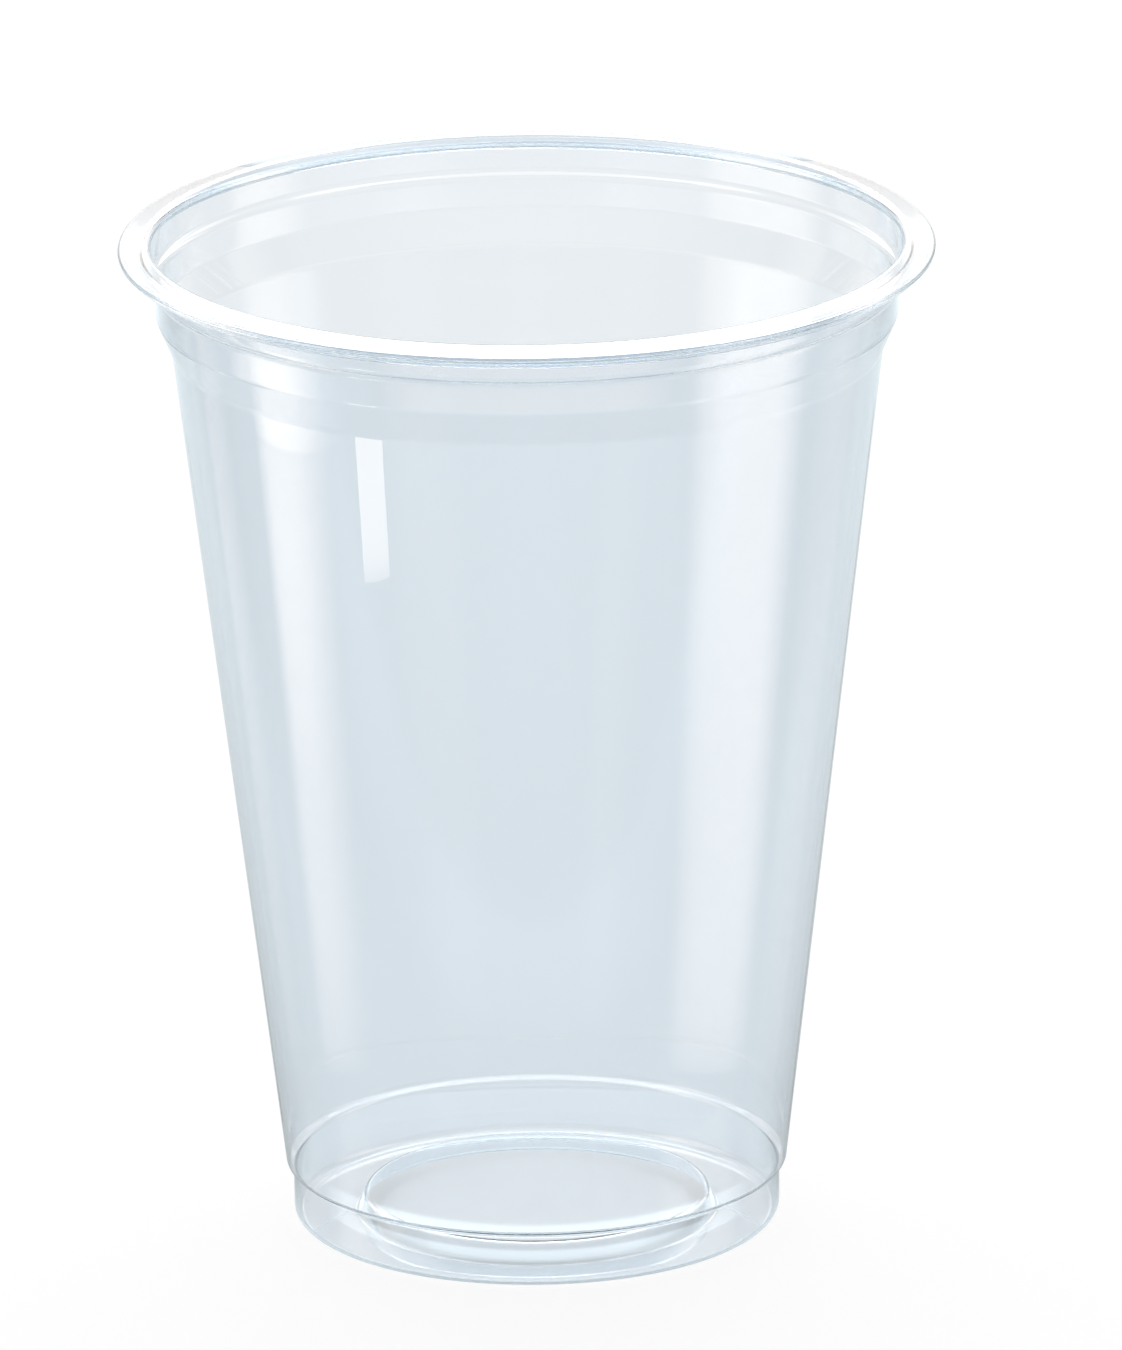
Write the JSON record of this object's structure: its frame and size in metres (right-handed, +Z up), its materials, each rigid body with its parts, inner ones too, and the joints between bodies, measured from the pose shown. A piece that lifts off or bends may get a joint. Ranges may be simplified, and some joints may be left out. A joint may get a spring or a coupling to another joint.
{
  "type": "plastic disposable cup",
  "caption": "Clear thermoformed cold-drink cup with a rolled rim, a ledge and shoulder at the neck, a tapered wall, and a stacking step above a foot with a recessed base.",
  "frame": {"origin": "centre of the base, on the plane that the cup stands on", "axes": "+Z up along the cup's axis, from the base to the rim; X and Y lie level, and the cup is round, so neither is marked out"},
  "size_m": [0.095, 0.095, 0.1195],
  "materials": {
    "clear_plastic": "clear thermoformed PET with a faint blue-grey cast, glossy on both sides"
  },
  "bodies": {
    "root": {"cup": "clear_plastic"}
  },
  "joints": []
}
